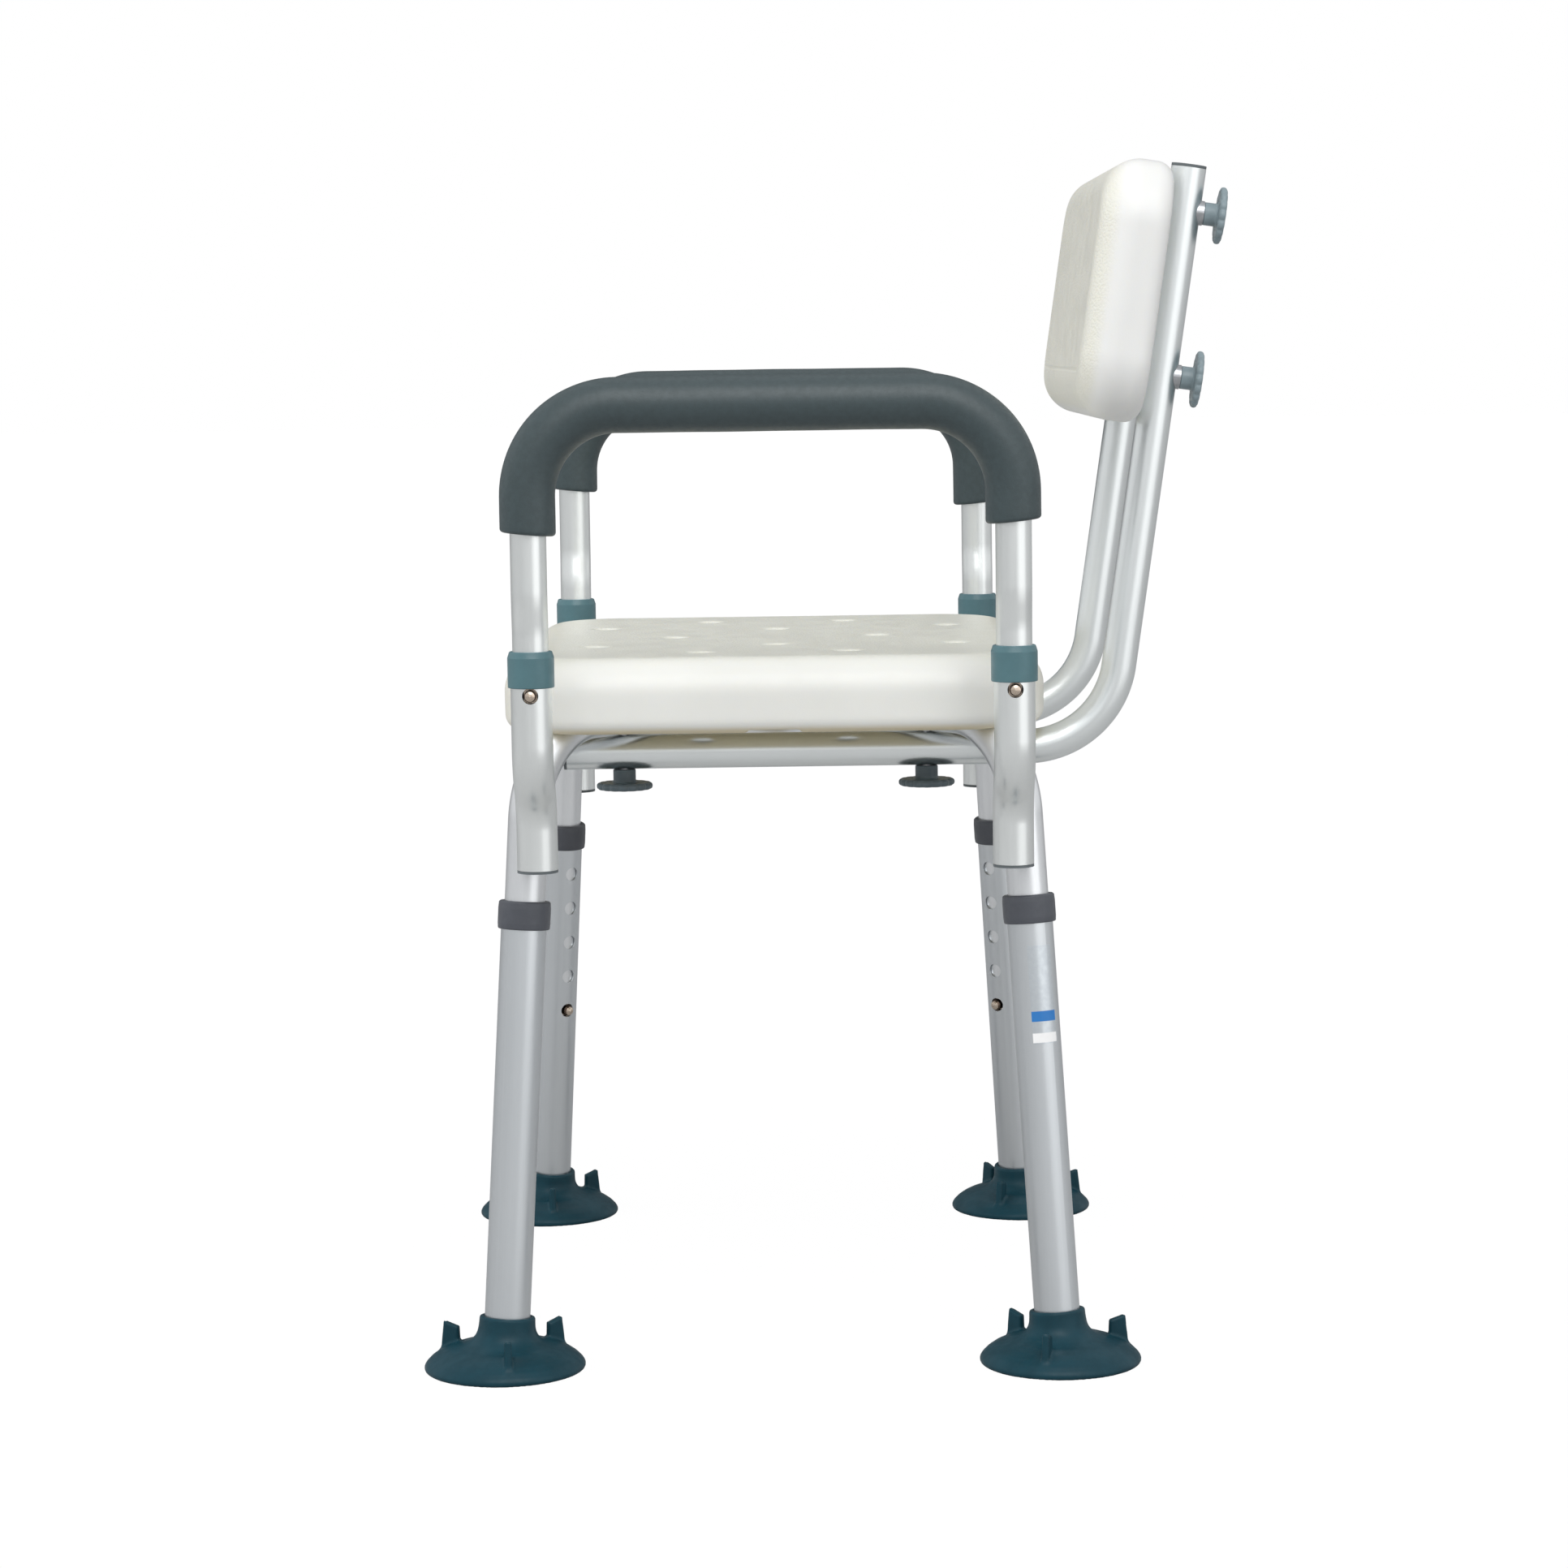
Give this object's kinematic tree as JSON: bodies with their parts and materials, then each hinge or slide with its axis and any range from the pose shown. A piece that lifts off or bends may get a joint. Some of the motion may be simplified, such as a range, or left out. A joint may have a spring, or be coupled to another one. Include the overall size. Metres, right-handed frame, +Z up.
{
  "type": "shower chair",
  "caption": "Shower chair with a perforated plastic seat, a backrest, pull-off armrests, telescoping legs and suction feet.",
  "frame": {"origin": "middle of the bounding box on the floor, under the feet", "axes": "+Z up, the chair faces -Y, +X to the sitter's left"},
  "size_m": [0.5656, 0.5161, 0.7495],
  "materials": {
    "seat_plastic": "blow-moulded, semi-gloss",
    "tube_aluminium": "satin anodised",
    "steel": "zinc plated",
    "brass": "satin",
    "teal_plastic": "moulded",
    "foot_rubber": "moulded rubber, satin",
    "dark_plastic": "moulded",
    "knob_plastic": "moulded",
    "foam": "soft closed-cell foam",
    "label_film": "printed film"
  },
  "bodies": {
    "frame": {"seat": "seat_plastic", "backrest": "seat_plastic", "leg_frame_tube_a": "tube_aluminium", "leg_frame_tube_b": "tube_aluminium", "frame_cross_bolt": "steel", "frame_cross_nut": "steel", "socket_front_left": "tube_aluminium", "socket_front_right": "tube_aluminium", "socket_rear_left": "tube_aluminium", "socket_rear_right": "tube_aluminium", "socket_collars": "teal_plastic", "socket_end_caps": "dark_plastic", "socket_rivets": "steel", "back_tube_left": "tube_aluminium", "back_tube_right": "tube_aluminium", "back_tube_caps": "dark_plastic", "seat_inserts": "brass", "back_inserts": "brass", "saddle_washers": "dark_plastic"},
    "leg_front_left": {"leg_tube_front_left": "tube_aluminium", "leg_collar_front_left": "dark_plastic", "foot_front_left": "foot_rubber"},
    "leg_front_right": {"leg_tube_front_right": "tube_aluminium", "leg_collar_front_right": "dark_plastic", "foot_front_right": "foot_rubber"},
    "leg_rear_left": {"leg_tube_rear_left": "tube_aluminium", "leg_collar_rear_left": "dark_plastic", "foot_rear_left": "foot_rubber", "leg_label": "label_film"},
    "leg_rear_right": {"leg_tube_rear_right": "tube_aluminium", "leg_collar_rear_right": "dark_plastic", "foot_rear_right": "foot_rubber"},
    "button_leg_front_left": {"leg_button_front_left": "brass"},
    "button_leg_front_right": {"leg_button_front_right": "brass"},
    "button_leg_rear_left": {"leg_button_rear_left": "brass"},
    "button_leg_rear_right": {"leg_button_rear_right": "brass"},
    "armrest_left": {"armrest_tube_left": "tube_aluminium", "armrest_grip_left": "foam"},
    "armrest_right": {"armrest_tube_right": "tube_aluminium", "armrest_grip_right": "foam"},
    "button_arm_front_left": {"arm_button_front_left": "brass"},
    "button_arm_front_right": {"arm_button_front_right": "brass"},
    "button_arm_rear_left": {"arm_button_rear_left": "brass"},
    "button_arm_rear_right": {"arm_button_rear_right": "brass"},
    "knob_seat_front_left": {"seat_knob_front_left": "knob_plastic", "seat_stud_front_left": "steel"},
    "knob_seat_front_right": {"seat_knob_front_right": "knob_plastic", "seat_stud_front_right": "steel"},
    "knob_seat_rear_left": {"seat_knob_rear_left": "knob_plastic", "seat_stud_rear_left": "steel"},
    "knob_seat_rear_right": {"seat_knob_rear_right": "knob_plastic", "seat_stud_rear_right": "steel"},
    "knob_back_upper_left": {"back_knob_upper_left": "knob_plastic", "back_stud_upper_left": "steel"},
    "knob_back_upper_right": {"back_knob_upper_right": "knob_plastic", "back_stud_upper_right": "steel"},
    "knob_back_lower_left": {"back_knob_lower_left": "knob_plastic", "back_stud_lower_left": "steel"},
    "knob_back_lower_right": {"back_knob_lower_right": "knob_plastic", "back_stud_lower_right": "steel"}
  },
  "joints": [
    {"name": "leg_height_front_left", "type": "slide", "parent": "frame", "child": "leg_front_left", "axis": [0.0764, -0.0573, -0.9954], "range_m": [0, 0.1016], "deforming": ["leg_button_front_left"]},
    {"name": "leg_height_front_right", "type": "slide", "parent": "frame", "child": "leg_front_right", "axis": [-0.0764, -0.0573, -0.9954], "range_m": [0, 0.1016], "deforming": ["leg_button_front_right"]},
    {"name": "leg_height_rear_left", "type": "slide", "parent": "frame", "child": "leg_rear_left", "axis": [0.0764, 0.0573, -0.9954], "range_m": [0, 0.1016], "deforming": ["leg_button_rear_left"]},
    {"name": "leg_height_rear_right", "type": "slide", "parent": "frame", "child": "leg_rear_right", "axis": [-0.0764, 0.0573, -0.9954], "range_m": [0, 0.1016], "deforming": ["leg_button_rear_right"]},
    {"name": "leg_button_press_front_left", "type": "slide", "parent": "frame", "child": "button_leg_front_left", "axis": [0.7963, -0.5973, 0.0955], "range_m": [0, 0.0038], "stiffness_N_per_m": 2500, "springref_m": -0.0015},
    {"name": "leg_button_press_front_right", "type": "slide", "parent": "frame", "child": "button_leg_front_right", "axis": [-0.7963, -0.5973, 0.0955], "range_m": [0, 0.0038], "stiffness_N_per_m": 2500, "springref_m": -0.0015},
    {"name": "leg_button_press_rear_left", "type": "slide", "parent": "frame", "child": "button_leg_rear_left", "axis": [0.7963, 0.5973, 0.0955], "range_m": [0, 0.0038], "stiffness_N_per_m": 2500, "springref_m": -0.0015},
    {"name": "leg_button_press_rear_right", "type": "slide", "parent": "frame", "child": "button_leg_rear_right", "axis": [-0.7963, 0.5973, 0.0955], "range_m": [0, 0.0038], "stiffness_N_per_m": 2500, "springref_m": -0.0015},
    {"name": "armrest_lift_left", "type": "slide", "parent": "frame", "child": "armrest_left", "axis": [0, 0, 1], "range_m": [0, 0.05], "deforming": ["arm_button_front_left", "arm_button_rear_left"]},
    {"name": "armrest_lift_right", "type": "slide", "parent": "frame", "child": "armrest_right", "axis": [0, 0, 1], "range_m": [0, 0.05], "deforming": ["arm_button_front_right", "arm_button_rear_right"]},
    {"name": "arm_button_press_front_left", "type": "slide", "parent": "armrest_left", "child": "button_arm_front_left", "axis": [-1, 0, 0], "range_m": [0, 0.0038], "stiffness_N_per_m": 2500, "springref_m": -0.0015},
    {"name": "arm_button_press_front_right", "type": "slide", "parent": "armrest_right", "child": "button_arm_front_right", "axis": [1, 0, 0], "range_m": [0, 0.0038], "stiffness_N_per_m": 2500, "springref_m": -0.0015},
    {"name": "arm_button_press_rear_left", "type": "slide", "parent": "armrest_left", "child": "button_arm_rear_left", "axis": [-1, 0, 0], "range_m": [0, 0.0038], "stiffness_N_per_m": 2500, "springref_m": -0.0015},
    {"name": "arm_button_press_rear_right", "type": "slide", "parent": "armrest_right", "child": "button_arm_rear_right", "axis": [1, 0, 0], "range_m": [0, 0.0038], "stiffness_N_per_m": 2500, "springref_m": -0.0015},
    {"name": "seat_knob_turn_front_left", "type": "hinge", "parent": "frame", "child": "knob_seat_front_left", "pos_m": [0.1295, -0.13043, 0.36], "axis": [0, 0, -1], "continuous": true},
    {"name": "seat_knob_turn_front_right", "type": "hinge", "parent": "frame", "child": "knob_seat_front_right", "pos_m": [-0.1295, -0.13043, 0.36], "axis": [0, 0, -1], "continuous": true},
    {"name": "seat_knob_turn_rear_left", "type": "hinge", "parent": "frame", "child": "knob_seat_rear_left", "pos_m": [0.1295, 0.06383, 0.36], "axis": [0, 0, -1], "continuous": true},
    {"name": "seat_knob_turn_rear_right", "type": "hinge", "parent": "frame", "child": "knob_seat_rear_right", "pos_m": [-0.1295, 0.06383, 0.36], "axis": [0, 0, -1], "continuous": true},
    {"name": "back_knob_turn_upper_left", "type": "hinge", "parent": "frame", "child": "knob_back_upper_left", "pos_m": [0.1295, 0.2297, 0.71697], "axis": [0, 0.9895, -0.1444], "continuous": true},
    {"name": "back_knob_turn_upper_right", "type": "hinge", "parent": "frame", "child": "knob_back_upper_right", "pos_m": [-0.1295, 0.2297, 0.71697], "axis": [0, 0.9895, -0.1444], "continuous": true},
    {"name": "back_knob_turn_lower_left", "type": "hinge", "parent": "frame", "child": "knob_back_lower_left", "pos_m": [0.1295, 0.21468, 0.61396], "axis": [0, 0.9895, -0.1444], "continuous": true},
    {"name": "back_knob_turn_lower_right", "type": "hinge", "parent": "frame", "child": "knob_back_lower_right", "pos_m": [-0.1295, 0.21468, 0.61396], "axis": [0, 0.9895, -0.1444], "continuous": true}
  ]
}
